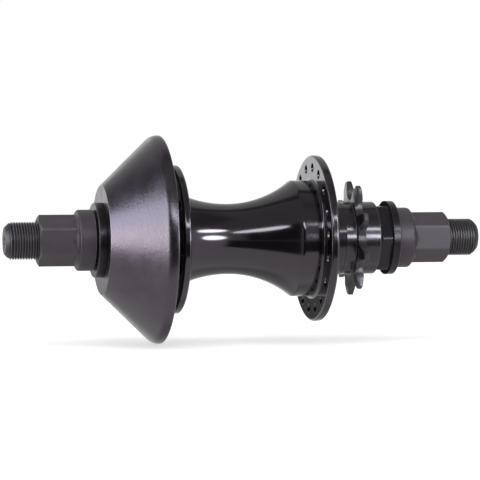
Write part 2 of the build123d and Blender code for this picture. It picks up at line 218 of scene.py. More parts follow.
# A Geometry Nodes tree with these named inputs
def geometryTree(name, inputs):
    tree = bpy.data.node_groups.new(name, "GeometryNodeTree")
    tree.interface.new_socket("Geometry", in_out="INPUT", socket_type="NodeSocketGeometry")
    for label, value in inputs.items():
        kind = next(kind for valueType, kind in socketKinds if isinstance(value, valueType))
        socket = tree.interface.new_socket(label, in_out="INPUT", socket_type="NodeSocket" + kind)
        socket.default_value = value
    tree.interface.new_socket("Geometry", in_out="OUTPUT", socket_type="NodeSocketGeometry")
    return tree, tree.nodes.new("NodeGroupInput").outputs, tree.nodes.new("NodeGroupOutput")


# The last nodes of each tree: the instances made real, and the piece's material.
def endTree(tree, geometry, material, output):
    real = tree.nodes.new("GeometryNodeRealizeInstances")
    paint = tree.nodes.new("GeometryNodeSetMaterial")
    tree.links.new(geometry, real.inputs["Geometry"])
    tree.links.new(real.outputs[0], paint.inputs["Geometry"])
    tree.links.new(material, paint.inputs["Material"])
    tree.links.new(paint.outputs[0], output.inputs[0])


# Runs a tree on an object with these inputs, and gives the plain mesh that it makes.
def meshFromTree(holder, tree, inputs):
    modifier = holder.modifiers.new(tree.name, "NODES")
    modifier.node_group = tree
    sockets = {item.name: item.identifier for item in tree.interface.items_tree if item.in_out == "INPUT"}
    for label, value in inputs.items():
        modifier[sockets[label]] = value
    graph = bpy.context.evaluated_depsgraph_get()
    data = bpy.data.meshes.new_from_object(holder.evaluated_get(graph))
    holder.modifiers.remove(modifier)
    return data


def dropObject(helper):
    data = helper.data
    bpy.data.objects.remove(helper)
    bpy.data.meshes.remove(data)


# Materials

noiseLow, noiseHigh = 0.3, 0.7  # nearly all values of the noise lie between these


# A metal or plastic surface on object coordinates. Lathe marks run round the axle, grain is even, and
# a lighter colour shows on rounded edges: partly wear, partly a painted highlight along them.
def makeFinish(name, look):
    material = bpy.data.materials.new(name)
    material.use_nodes = True
    tree = material.node_tree
    nodes, links = tree.nodes, tree.links
    calc = mathIn(tree)
    shader = nodes["Principled BSDF"]
    shader.inputs["Metallic"].default_value = look["metallic"]
    shader.inputs["IOR"].default_value = look["ior"]
    shader.inputs["Specular Tint"].default_value = (*look["cast"], 1)
    place = nodes.new("ShaderNodeTexCoord").outputs["Object"]
    split = nodes.new("ShaderNodeSeparateXYZ")
    links.new(place, split.inputs[0])
    xSquared = calc("MULTIPLY", split.outputs["X"], split.outputs["X"])
    zSquared = calc("MULTIPLY", split.outputs["Z"], split.outputs["Z"])
    radius = calc("SQRT", calc("ADD", xSquared, zSquared))
    ringPlace = nodes.new("ShaderNodeCombineXYZ")
    links.new(radius, ringPlace.inputs["X"])
    links.new(split.outputs["Y"], ringPlace.inputs["Y"])

    def noise(vector, size, detail):
        texture = nodes.new("ShaderNodeTexNoise")
        texture.inputs["Scale"].default_value = 1 / (size * mm)
        texture.inputs["Detail"].default_value = detail
        links.new(vector, texture.inputs["Vector"])
        return texture.outputs["Fac"]

    def spread(value, low, high):
        ranged = nodes.new("ShaderNodeMapRange")
        limits = {"From Min": noiseLow, "From Max": noiseHigh, "To Min": low, "To Max": high}
        for label, limit in limits.items():
            ranged.inputs[label].default_value = limit
        links.new(value, ranged.inputs["Value"])
        return ranged.outputs["Result"]

    rings = noise(ringPlace.outputs[0], look["ringSize"], detail=2)
    grain = noise(place, look["grainSize"], detail=3)
    cloud = noise(place, look["cloudSize"], detail=2)

    # Colour: a little cloudiness, and on the edges a lighter colour that is partly wear and partly a painted
    # highlight
    base, cloudy, wearAndSheenTone = ((*look[key], 1) for key in ("colour", "cloudColour", "wearAndSheenColour"))
    clouded = mixIn(tree, "RGBA", spread(cloud, 0, 1), base, cloudy)
    edge = nodes.new("ShaderNodeAttribute")
    edge.attribute_name = "edgeWear"
    wearAndSheenShare = calc("MULTIPLY", edge.outputs["Fac"], spread(grain, 0, look["wearAndSheen"]))
    links.new(mixIn(tree, "RGBA", wearAndSheenShare, clouded, wearAndSheenTone), shader.inputs["Base Color"])

    # Roughness varies with the cloud and the lathe marks, and worn edges are duller
    rough, vary = look["roughness"], look["roughSpread"]
    uneven = calc("ADD", spread(cloud, rough - vary, rough + vary), spread(rings, -vary / 2, vary / 2))
    dulling = calc("MULTIPLY", edge.outputs["Fac"], look["wearDulling"])
    links.new(calc("ADD", uneven, dulling), shader.inputs["Roughness"])

    # Height: lathe marks and grain
    ringHeight = calc("MULTIPLY", rings, look["ringDepth"] * mm)
    grainHeight = calc("MULTIPLY", grain, look["grainDepth"] * mm)
    bump = nodes.new("ShaderNodeBump")
    bump.inputs["Distance"].default_value = 1.0
    bump.inputs["Strength"].default_value = 1.0
    links.new(calc("ADD", ringHeight, grainHeight), bump.inputs["Height"])
    links.new(bump.outputs["Normal"], shader.inputs["Normal"])
    return material


# What a finish doesn't name is as here. Sizes and depths of marks and grain are in mm.
baseLook = {
    "metallic": 0.0, "ior": 1.38, "cast": (1.0, 0.9, 1.02),
    "colour": (0.058, 0.049, 0.058), "cloudColour": (0.072, 0.06, 0.071), "cloudSize": 7.0,
    "roughness": 0.46, "roughSpread": 0.03,
    "ringSize": 0.12, "ringDepth": 0.0012, "grainSize": 0.12, "grainDepth": 0.0015,
    # The edge colour below is wear and a painted highlight along edges.
    "wearAndSheen": 0.35, "wearAndSheenColour": (0.2, 0.19, 0.2), "wearDulling": 0.0,
}

finishes = {
    "axleSteel": {
        "ior": 1.5, "colour": (0.009, 0.0075, 0.0095), "cloudColour": (0.014, 0.012, 0.015),
        # A bright edge colour on the thread crests: wear and a painted highlight.
        "wearAndSheen": 0.9, "wearAndSheenColour": (0.19, 0.18, 0.19),
    },
    # Light lines along the nut's edges and corners: wear and a painted highlight.
    "nutSteel": {"wearAndSheen": 0.6, "wearAndSheenColour": (0.3, 0.29, 0.3)},
    "washerSteel": {
        "ior": 1.36, "colour": (0.008, 0.0065, 0.0085), "cloudColour": (0.011, 0.009, 0.0115),
        "roughness": 0.28, "ringDepth": 0.0004, "grainDepth": 0.0004,
    },
    "guardSatin": {
        "metallic": 1.0, "cast": (1.0, 1.0, 1.0),
        "colour": (0.079, 0.068, 0.082), "cloudColour": (0.09, 0.077, 0.094),
        "roughness": 0.28, "roughSpread": 0.04,
        "ringSize": 0.3, "ringDepth": 0.0008, "grainSize": 1.0, "grainDepth": 0.045,
        "wearAndSheen": 0.12, "wearAndSheenColour": (0.3, 0.29, 0.31),
    },
    "shellGloss": {
        "ior": 1.65, "cast": (1.0, 0.89, 1.02),
        "colour": (0.0015, 0.001, 0.0015), "cloudColour": (0.0025, 0.002, 0.0025),
        "roughness": 0.12, "roughSpread": 0.012,
        "ringSize": 0.5, "ringDepth": 0.0003, "grainSize": 0.6, "grainDepth": 0.0002,
        "wearAndSheen": 0.05, "wearDulling": 0.1,
    },
    "driverGloss": {
        "ior": 1.58, "cast": (1.0, 0.9, 1.03),
        "colour": (0.008, 0.0067, 0.008), "cloudColour": (0.013, 0.011, 0.013),
        "roughness": 0.18, "roughSpread": 0.03,
        "ringSize": 0.25, "ringDepth": 0.0004, "grainSize": 0.3, "grainDepth": 0.0004,
        "wearAndSheen": 0.2, "wearDulling": 0.18,
    },
    "locknutSteel": {
        "colour": (0.008, 0.0065, 0.0085), "cloudColour": (0.011, 0.009, 0.012), "roughness": 0.27,
    },
    "toolSteel": {
        "metallic": 1.0, "colour": (0.4, 0.39, 0.38), "cloudColour": (0.33, 0.32, 0.31),
        "roughness": 0.35, "roughSpread": 0.06,
    },
    "springSteel": {
        "metallic": 1.0, "colour": (0.55, 0.54, 0.53), "cloudColour": (0.46, 0.44, 0.42),
        "roughness": 0.28,
    },
    "bearingSteel": {
        "metallic": 1.0, "colour": (0.62, 0.62, 0.63), "cloudColour": (0.56, 0.56, 0.57),
        "roughness": 0.12, "roughSpread": 0.02, "ringDepth": 0.0004, "grainDepth": 0.0001,
    },
    "spacerAlloy": {
        "metallic": 1.0, "colour": (0.66, 0.66, 0.67), "cloudColour": (0.6, 0.6, 0.61),
        "roughness": 0.3, "ringSize": 0.2, "ringDepth": 0.003,
    },
    "cageNylon": {
        "colour": (0.52, 0.47, 0.36), "cloudColour": (0.46, 0.41, 0.31), "roughness": 0.5,
        "grainSize": 0.15, "grainDepth": 0.002,
    },
    "sealRubber": {
        "colour": (0.012, 0.012, 0.012), "cloudColour": (0.018, 0.018, 0.018), "roughness": 0.6,
        "ringDepth": 0.0004, "grainDepth": 0.004, "wearAndSheen": 0.0,
    },
}
materials = {name: makeFinish(name, {**baseLook, **look}) for name, look in finishes.items()}
print("materials ready:", ", ".join(materials))

# The finish of each record slot, for the nodes that keep their CAD shape
slotFinish = {
    "axle_steel": "axleSteel", "nut_steel": "nutSteel", "guard_satin": "guardSatin",
    "shell_gloss": "shellGloss", "driver_gloss": "driverGloss", "tool_steel": "toolSteel",
    "spring_steel": "springSteel", "bearing_steel": "bearingSteel", "spacer_alloy": "spacerAlloy",
    "cage_nylon": "cageNylon", "rubber": "sealRubber",
}
for part in frame["record"]["subparts"]:
    node = frame["nodes"][part["node"]]
    for slot in node.material_slots:
        slot.material = materials[slotFinish[part["material_slot"]]]


# Axle with its rolled threads

# Crest, rootStart and rootEnd are shares of a turn of the thread. The centre hole is the small one in each
# end of the axle, and centreFloor is the floor's share of its radius.
axle = {
    "major": 7.0, "minor": 6.39, "pitch": 1.0, "crest": 0.2, "rootStart": 0.5, "rootEnd": 0.72,
    "start": 53.6, "end": 91.4, "tipLength": 2.4, "tipRadius": 5.1, "tipCurve": 1.4, "columns": 96,
    "journal": 7.5, "ndsJournalEnd": 29.6, "dsJournalEnd": -49.9,
    "shoulder": 8.8, "ndsShoulderEnd": 22.0, "dsShoulderEnd": -9.7, "edge": 0.3,
    "centreHole": 1.6, "centreDepth": 1.4, "centreFloor": 0.2,
}
turnRows = 4       # rows in a turn of the thread: crest start, crest end, root start and root end
threadWeld = 2e-6  # in metres, like the next two: points of the thread nearer than this become one
axleWeld = 3e-6    # the same, where the thread meets the rest of the axle
leastEdge = 1e-7   # shorter edges than this are taken out


# A grid becomes the thread: each row follows the helix, so that crests and roots stay sharp.
def threadTree(inputs):
    tree, field, output = geometryTree("axleThread", inputs)
    nodes, links = tree.nodes, tree.links
    calc = mathIn(tree)
    grid = nodes.new("GeometryNodeMeshGrid")
    links.new(field["Rows"], grid.inputs["Vertices X"])
    links.new(field["Columns"], grid.inputs["Vertices Y"])
    index = nodes.new("GeometryNodeInputIndex").outputs[0]
    # The half added before each division keeps rounding from losing a row
    row = calc("FLOOR", calc("DIVIDE", calc("ADD", index, 0.5), field["Columns"]))
    column = calc("SUBTRACT", index, calc("MULTIPLY", row, field["Columns"]))
    share = calc("DIVIDE", column, calc("SUBTRACT", field["Columns"], 1.0))
    turn = calc("FLOOR", calc("DIVIDE", calc("ADD", row, 0.5), turnRows))
    step = calc("SUBTRACT", row, calc("MULTIPLY", turn, turnRows))
    # How far round its turn each of the four rows starts. The first, where the crest starts, stays at 0.
    phase = nodes.new("GeometryNodeIndexSwitch")
    phase.data_type = "FLOAT"
    while len(phase.index_switch_items) < turnRows:
        phase.index_switch_items.new()
    links.new(step, phase.inputs["Index"])
    for i, label in enumerate(("Crest End", "Root Start", "Root End")):
        links.new(field[label], phase.inputs[i + 2])
    isRoot = calc("GREATER_THAN", step, turnRows / 2 - 0.5)
    drop = calc("SUBTRACT", field["Major Radius"], field["Minor Radius"])
    threadRadius = calc("SUBTRACT", field["Major Radius"], calc("MULTIPLY", isRoot, drop))
    along = calc("ADD", calc("ADD", turn, phase.outputs[0]), share)
    freeY = calc("ADD", calc("MULTIPLY", calc("SUBTRACT", along, 1.0), field["Pitch"]), field["Start"])
    y = calc("MINIMUM", calc("MAXIMUM", freeY, field["Start"]), field["End"])
    # The chamfer at the tip and the run-out at the start cut the crests down
    fromTip = calc("SUBTRACT", field["End"], y)
    tipShare = calc("SUBTRACT", 1.0, calc("DIVIDE", fromTip, field["Tip Length"]))
    tipDrop = calc("POWER", calc("MAXIMUM", tipShare, 0.0), field["Tip Curve"])
    tipHeight = calc("SUBTRACT", field["Major Radius"], field["Tip Radius"])
    tipCut = calc("SUBTRACT", field["Major Radius"], calc("MULTIPLY", tipDrop, tipHeight))
    startCut = calc("ADD", field["Minor Radius"], calc("SUBTRACT", y, field["Start"]))
    radius = calc("MINIMUM", threadRadius, calc("MINIMUM", tipCut, startCut))
    angle = calc("MULTIPLY", share, 2 * math.pi)
    place = nodes.new("ShaderNodeCombineXYZ")
    for axis, operation in (("X", "SINE"), ("Z", "COSINE")):
        across = calc("MULTIPLY", radius, calc(operation, angle))
        links.new(calc("MULTIPLY", across, mm), place.inputs[axis])
    links.new(calc("MULTIPLY", y, mm), place.inputs["Y"])
    move = nodes.new("GeometryNodeSetPosition")
    links.new(grid.outputs["Mesh"], move.inputs["Geometry"])
    links.new(place.outputs[0], move.inputs["Position"])
    merge = nodes.new("GeometryNodeMergeByDistance")
    merge.inputs["Distance"].default_value = threadWeld
    links.new(move.outputs[0], merge.inputs["Geometry"])
    endTree(tree, merge.outputs[0], field["Material"], output)
    return tree


def makeAxle():
    start, end, minor, journal = axle["start"], axle["end"], axle["minor"], axle["journal"]
    turns = math.ceil((end - start) / axle["pitch"]) + 2
    inputs = {
        "Rows": turns * turnRows + 1, "Columns": axle["columns"] + 1, "Major Radius": axle["major"],
        "Minor Radius": minor, "Pitch": axle["pitch"], "Crest End": axle["crest"],
        "Root Start": axle["rootStart"], "Root End": axle["rootEnd"], "Start": start, "End": end,
        "Tip Length": axle["tipLength"], "Tip Radius": axle["tipRadius"], "Tip Curve": axle["tipCurve"],
        "Material": materials["axleSteel"],
    }
    holder = newObject("threadHolder", bpy.data.meshes.new("threadHolder"))
    thread = meshFromTree(holder, threadTree(inputs), inputs)
    dropObject(holder)
    # The same thread turned round for the other end of the axle
    body = bmesh.new()
    body.from_mesh(thread)
    bpy.data.meshes.remove(thread)
    half = body.verts[:] + body.edges[:] + body.faces[:]
    for copied in bmesh.ops.duplicate(body, geom=half)["geom"]:
        if isinstance(copied, bmesh.types.BMVert):
            copied.co.x, copied.co.y = -copied.co.x, -copied.co.y
    # Between the threads: the journals under the bearings and the shoulder in the middle
    angles = evenAngles(axle["columns"])
    middle = outlineRows([
        (start, minor), (axle["ndsJournalEnd"], minor), (axle["ndsJournalEnd"], journal, axle["edge"]),
        (axle["ndsShoulderEnd"], journal), (axle["ndsShoulderEnd"], axle["shoulder"], axle["edge"]),
        (axle["dsShoulderEnd"], axle["shoulder"], axle["edge"]), (axle["dsShoulderEnd"], journal),
        (axle["dsJournalEnd"], journal, axle["edge"]), (axle["dsJournalEnd"], minor), (-start, minor),
    ])
    floorY, floorRadius = end - axle["centreDepth"], axle["centreHole"] * axle["centreFloor"]
    cap = [
        (end, axle["tipRadius"], 0), (end, axle["centreHole"], 0), (floorY, floorRadius, 0), (floorY, 0, 0),
    ]
    parts = [rowMesh(middle, angles, closed=False)]
    parts += [rowMesh(cap, angles, closed=False, side=side) for side in (1, -1)]
    for part in parts:
        data = bpy.data.meshes.new("axlePart")
        part.to_mesh(data)
        part.free()
        body.from_mesh(data)
        bpy.data.meshes.remove(data)
    bmesh.ops.remove_doubles(body, verts=body.verts, dist=axleWeld)
    bmesh.ops.dissolve_degenerate(body, edges=body.edges, dist=leastEdge)
    bmesh.ops.recalc_face_normals(body, faces=body.faces)
    layers = body.verts.layers.float
    edgeLayer = layers.get("edgeWear") or layers.new("edgeWear")
    # Only the thread crests get the lighter edge colour: wear, and a painted highlight along each crest.
    crest = (axle["major"] - holdGap) * mm
    for vert in body.verts:
        onThread = abs(vert.co.y) > start * mm
        vert[edgeLayer] = 1.0 if onThread and math.hypot(vert.co.x, vert.co.z) > crest else 0.0
    print("axle open edges:", sum(1 for e in body.edges if len(e.link_faces) != 2))
    return newPiece("threaded_axle", body, materials["axleSteel"])


settle(makeAxle(), "axle", "axle")


# Axle nuts and their washers

nut = {
    "acrossFlats": 17.0, "cornerRadius": 9.65, "flatStep": 4.0, "cornerWearAndSheen": 0.3,
    "skirtIn": 55.35, "lipRadius": 9.1, "lipEnd": 56.05, "lipEdge": 0.1, "skirtRadius": 8.4,
    "collarIn": 58.35, "collarOut": 64.6, "collarRadius": 11.45, "edge": 0.5,
    "shoulder": 1.1, "hollow": 2.5, "hollowSteps": 7,
    "end": 79.15, "endWearAndSheen": 0.5, "chamferRadius": 8.45, "chamferAngle": 30.0,
    "boreRadius": 7.05, "boreChamfer": 0.45,
}
hexTurn = math.pi / 3  # from one flat of a hexagon to the next


# Distance from the axle to the side of a hexagon that has the middle of a flat at turn
def hexSide(acrossFlats, cornerRadius, turn):
    def radius(angle):
        offset = (angle - turn + hexTurn / 2) % hexTurn - hexTurn / 2
        return min(acrossFlats / 2 / math.cos(offset), cornerRadius)
    return radius


# Edge colour of a hexagon's side at a distance from the axle: its corners get wear and a painted highlight
def cornerWearAndSheen(r, cornerRadius):
    return nut["cornerWearAndSheen"] if r > cornerRadius - holdGap else 0.0


# Angles about flatStep degrees apart, which meet each hexagon corner where it was turned down to the corner
# radius
def hexAngles(acrossFlats, cornerRadius, turn):
    corner = math.acos(acrossFlats / 2 / cornerRadius)
    steps = 2 * round(math.degrees(corner) / nut["flatStep"])
    offsets = [corner * (2 * i / steps - 1) for i in range(steps + 1)]
    offsets.append(hexTurn / 2)
    return [turn + hexTurn * k + offset for k in range(6) for offset in offsets]


# The collar rounds over into a hollow that runs out on the flats.
def makeAxleNut(side):
    turn = hexTurn / 2
    hexRadius = hexSide(nut["acrossFlats"], nut["cornerRadius"], turn)
    chamferSlope = math.tan(math.radians(nut["chamferAngle"]))
    hollowTop = nut["collarRadius"] - nut["shoulder"]
    flatRadius = nut["acrossFlats"] / 2

    # How far along the nut the hollow still runs when it has come down to r
    def hollowRun(r):
        return math.sqrt(nut["hollow"] ** 2 - (nut["hollow"] - (r - flatRadius)) ** 2)

    def hollowRow(share):
        def row(angle):
            r = hollowTop + (hexRadius(angle) - hollowTop) * share
            return (nut["collarOut"] + hollowRun(hollowTop) - hollowRun(r), r, 0.0)
        return row

    def flatMeetsChamfer(angle):
        r = hexRadius(angle)
        return (nut["end"] - (r - nut["chamferRadius"]) * chamferSlope, r, 1.0)

    # The row on the flats that stands a gap from another row
    def besideRow(other, gap):
        def row(angle):
            y, r = other(angle)[:2]
            return (y + gap, r, cornerWearAndSheen(r, nut["cornerRadius"]))
        return row

    rows = outlineRows([
        (nut["end"] - nut["boreChamfer"], nut["boreRadius"]), (nut["skirtIn"], nut["boreRadius"]),
        (nut["skirtIn"], nut["lipRadius"], nut["lipEdge"]), (nut["lipEnd"], nut["lipRadius"], nut["lipEdge"]),
        (nut["lipEnd"], nut["skirtRadius"]), (nut["collarIn"], nut["skirtRadius"]),
        (nut["collarIn"], nut["collarRadius"], nut["edge"]),
        (nut["collarOut"], nut["collarRadius"], nut["shoulder"]), (nut["collarOut"], flatRadius),
    ])[:-2]
    steps = nut["hollowSteps"]
    rows += [hollowRow(k / steps) for k in range(1, steps + 1)]
    rows += [besideRow(hollowRow(1.0), holdGap), besideRow(flatMeetsChamfer, -holdGap), flatMeetsChamfer]
    for r in (nut["chamferRadius"], nut["boreRadius"] + nut["boreChamfer"]):
        rows.append((nut["end"], r, nut["endWearAndSheen"]))
    return rowMesh(rows, hexAngles(nut["acrossFlats"], nut["cornerRadius"], turn), side=side)


washer = {
    "radius": 14.05, "thickness": 3.0, "edge": 0.4, "wallStart": 0.45, "recessRadius": 9.3, "recess": 1.4,
    "boreRadius": 8.48, "boreEdge": 0.2, "serrations": 72, "serrationDepth": 0.3, "serrationWearAndSheen": 0.7,
}


# The face that grips the frame has radial serrations, one for every two angles, and takes the edge colour:
# wear and painted glints.
def makeWasher(side):
    outer = seat + washer["thickness"]
    recessFloor = seat + washer["recess"]
    columns = 2 * washer["serrations"]

    def notched(r):
        def row(angle):
            isRoot = round(angle / (2 * math.pi) * columns) % 2
            return (seat + washer["serrationDepth"] * isRoot, r, washer["serrationWearAndSheen"])
        return row

    rows = outlineRows([
        (recessFloor, washer["recessRadius"]), (recessFloor, washer["boreRadius"]),
        (outer, washer["boreRadius"], washer["boreEdge"]), (outer, washer["radius"], washer["edge"]),
        (seat + washer["wallStart"], washer["radius"]),
    ])
    rows += [notched(washer["radius"]), notched(washer["recessRadius"])]
    return rowMesh(rows, evenAngles(columns), side=side)


for label, side in (("nds", 1), ("ds", -1)):
    nutPiece = newPiece(label + "_hex_nut", makeAxleNut(side), materials["nutSteel"])
    settle(nutPiece, label + "_nut", label + "_axle_nut")
    washerPiece = newPiece(label + "_washer", makeWasher(side), materials["washerSteel"])
    settle(washerPiece, label + "_washer", label + "_nut_washer")


# Guard

guard = {
    "faceRadius": 20.5, "coneAngle": 43.9, "radius": 39.15, "rimLength": 2.7, "rimArc": 4.8, "edge": 0.6,
    "wall": 3.2, "rimInnerArc": 1.5, "plate": 4.2, "plateArc": 1.0, "boreRadius": 7.1, "boreEdge": 0.25,
    "arcSteps": 8, "columns": 240,
}


def makeGuard():
    coneAngle = math.radians(guard["coneAngle"])
    slope = math.tan(coneAngle)
    corner = seat - (guard["radius"] - guard["faceRadius"]) / slope
    back = corner - guard["rimLength"]
    plateFace = seat - guard["plate"]
    plateInner = guard["faceRadius"] + guard["plate"] * slope - guard["wall"] / math.cos(coneAngle)
    rimInner = guard["radius"] - guard["wall"]
    rimInnerY = plateFace - (rimInner - plateInner) / slope
    rows = outlineRows([
        (seat, guard["boreRadius"], guard["boreEdge"]), (seat, guard["faceRadius"], guard["edge"]),
        (corner, guard["radius"], guard["rimArc"]), (back, guard["radius"], guard["edge"]),
        (back, rimInner, guard["edge"]), (rimInnerY, rimInner, guard["rimInnerArc"]),
        (plateFace, plateInner, guard["plateArc"]), (plateFace, guard["boreRadius"]),
    ], guard["arcSteps"])
    return rowMesh(rows, evenAngles(guard["columns"]))


settle(newPiece("cone_guard", makeGuard(), materials["guardSatin"]), "axle", "hub_guard")


# Hub shell: the barrel's outline first, then the spoke holes

shell = {
    "ndsInner": 26.0, "ndsOuter": 29.0, "ndsRadius": 28.0, "ndsRoot": 17.6, "ndsRoom": 1.5,
    "bossRadius": 16.8, "bossEnd": 29.6, "bossEdge": 0.25,
    "dsMouth": -29.0, "mouthEdge": 0.3, "dsInner": -25.9, "dsRadius": 31.55,
    "cupStart": -18.0, "cupRadius": 22.05, "cupCorner": 1.4, "cupRoom": 1.2,
    "cupFloor": -17.5, "cupBore": 20.0,
    "waist": 6.8, "waistRadius": 13.3, "flangeEdge": 0.9, "flangeRoot": 1.2,
    "boreRadius": 10.8, "bearingRadius": 14.0, "ndsBearingIn": 22.0, "dsBearingIn": -9.7,
    "arcRows": 26, "columns": 288,
}
spokes = {
    "count": 18, "holeRadius": 1.3, "sinkRadius": 1.85, "sinkDepth": 0.55, "columns": 28, "overrun": 0.4,
    "ndsCircle": 23.5, "dsCircle": 27.0, "ndsTurn": 4.5, "dsTurn": -5.5,
}


# Rows of the barrel from the waist to an end, on an arc that lies level at the waist
def barrelArc(endY, endRadius):
    waist, waistRadius, count = shell["waist"], shell["waistRadius"], shell["arcRows"]
    run, rise = endY - waist, endRadius - waistRadius
    arcRadius = (run ** 2 + rise ** 2) / (2 * rise)
    rows = []
    for i in range(count + 1):
        y = waist + run * i / count
        rows.append((y, waistRadius + arcRadius - math.sqrt(arcRadius ** 2 - (y - waist) ** 2)))
    return rows


# The rows of an arc that stand far enough from its end to leave room for the rounding there
def clearOf(rows, room):
    end = Vector(rows[-1][:2])
    return [row for row in rows[:-1] if (Vector(row[:2]) - end).length > room]


def makeShellBody():
    ndsInner, ndsOuter, ndsRadius = shell["ndsInner"], shell["ndsOuter"], shell["ndsRadius"]
    dsMouth, dsInner, dsRadius = shell["dsMouth"], shell["dsInner"], shell["dsRadius"]
    cupRadius, cupBore, cupFloor = shell["cupRadius"], shell["cupBore"], shell["cupFloor"]
    bore, bearing, boss = shell["boreRadius"], shell["bearingRadius"], shell["bossRadius"]
    edge, root = shell["flangeEdge"], shell["flangeRoot"]
    toNds = barrelArc(ndsInner, shell["ndsRoot"])
    toCup = barrelArc(shell["cupStart"], cupRadius)
    corners = clearOf(toNds, shell["ndsRoom"]) + [
        (ndsInner, shell["ndsRoot"], root), (ndsInner, ndsRadius, edge), (ndsOuter, ndsRadius, edge),
        (ndsOuter, boss), (shell["bossEnd"], boss, shell["bossEdge"]), (shell["bossEnd"], bearing),
        (shell["ndsBearingIn"], bearing), (shell["ndsBearingIn"], bore),
        (shell["dsBearingIn"], bore), (shell["dsBearingIn"], bearing), (cupFloor, bearing),
        (cupFloor, cupBore), (dsMouth, cupBore, shell["mouthEdge"]), (dsMouth, dsRadius, edge),
        (dsInner, dsRadius, edge), (dsInner, cupRadius, root),
        (shell["cupStart"], cupRadius, shell["cupCorner"]),
    ] + clearOf(toCup, shell["cupRoom"])[:0:-1]
    return rowMesh(outlineRows(corners), evenAngles(shell["columns"]))


# One drill with a countersink at each face of a flange, about its own axis along Y
def makeDrill(low, high):
    over, hole = spokes["overrun"], spokes["holeRadius"]
    mouth = spokes["sinkRadius"] + (spokes["sinkRadius"] - hole) / spokes["sinkDepth"] * over
    rows = [
        (low - over, 0, 0), (low - over, mouth, 0), (low + spokes["sinkDepth"], hole, 0),
        (high - spokes["sinkDepth"], hole, 0), (high + over, mouth, 0), (high + over, 0, 0),
    ]
    return rowMesh(rows, evenAngles(spokes["columns"]), closed=False)


# Copies of a tool stand round the axle and are cut out of the piece.
def cutTree(inputs):
    tree, field, output = geometryTree("spokeHoles", inputs)
    nodes, links = tree.nodes, tree.links
    calc = mathIn(tree)
    line = nodes.new("GeometryNodeMeshLine")
    links.new(field["Count"], line.inputs["Count"])
    index = nodes.new("GeometryNodeInputIndex").outputs[0]
    step = calc("DIVIDE", 2 * math.pi, field["Count"])
    angle = calc("ADD", calc("MULTIPLY", index, step), field["Turn"])
    place = nodes.new("ShaderNodeCombineXYZ")
    for axis, operation in (("X", "SINE"), ("Z", "COSINE")):
        links.new(calc("MULTIPLY", calc(operation, angle), field["Circle Radius"]), place.inputs[axis])
    move = nodes.new("GeometryNodeSetPosition")
    links.new(line.outputs[0], move.inputs["Geometry"])
    links.new(place.outputs[0], move.inputs["Position"])
    tool = nodes.new("GeometryNodeObjectInfo")
    links.new(field["Tool"], tool.inputs["Object"])
    copies = nodes.new("GeometryNodeInstanceOnPoints")
    links.new(move.outputs[0], copies.inputs["Points"])
    links.new(tool.outputs["Geometry"], copies.inputs["Instance"])
    real = nodes.new("GeometryNodeRealizeInstances")
    links.new(copies.outputs[0], real.inputs["Geometry"])
    cut = nodes.new("GeometryNodeMeshBoolean")
    cut.operation = "DIFFERENCE"
    cut.solver = "EXACT"
    links.new(field["Geometry"], cut.inputs["Mesh 1"])
    links.new(real.outputs[0], cut.inputs["Mesh 2"])
    endTree(tree, cut.outputs["Mesh"], field["Material"], output)
    return tree


def makeShell():
    gloss = materials["shellGloss"]
    body = newPiece("shellBlank", makeShellBody(), gloss)
    flanges = (
        (shell["ndsInner"], shell["ndsOuter"], spokes["ndsCircle"], spokes["ndsTurn"]),
        (shell["dsMouth"], shell["dsInner"], spokes["dsCircle"], spokes["dsTurn"]),
    )
    for low, high, circle, turn in flanges:
        drill = newPiece("spokeDrill", makeDrill(low, high), gloss)
        inputs = {
            "Tool": drill, "Count": spokes["count"], "Circle Radius": circle * mm,
            "Turn": math.radians(turn), "Material": gloss,
        }
        body.data = meshFromTree(body, cutTree(inputs), inputs)
        dropObject(drill)
    data = body.data
    bpy.data.objects.remove(body)
    return addPiece("drilled_shell", data, gloss)


settle(makeShell(), "shell", "hub_shell")


# Driver with its teeth in one piece

driver = {
    "inner": -17.9, "carrierRadius": 16.2, "carrierOut": -26.1, "edge": 0.4, "radius": 13.8,
    "waist": -30.0, "waistRadius": 13.05, "waistRise": 0.5, "waistEdge": 0.2,
    "shoulder": -36.6, "shoulderHeight": 0.15, "shoulderEdge": 0.1,
    "cogIn": -40.7, "cogOut": -43.7, "cogFoot": 0.5, "noseEnd": -50.25, "noseEdge": 0.5,
    "boreRadius": 10.9, "bearingRadius": 12.0, "mouthEdge": 0.2,
    "innerBearingOut": -24.3, "outerBearingIn": -44.9,
}
cog = {
    "teeth": 9, "pitch": 12.7, "rollerRadius": 3.93, "tipRadius": 21.9, "turn": 13.4,
    "tipHalfAngle": 3.2, "seatHalfAngle": 67.0, "bevelRadius": 18.3, "tipThickness": 1.7, "edge": 0.16,
    "seatSteps": 7, "flankSteps": 7,
}


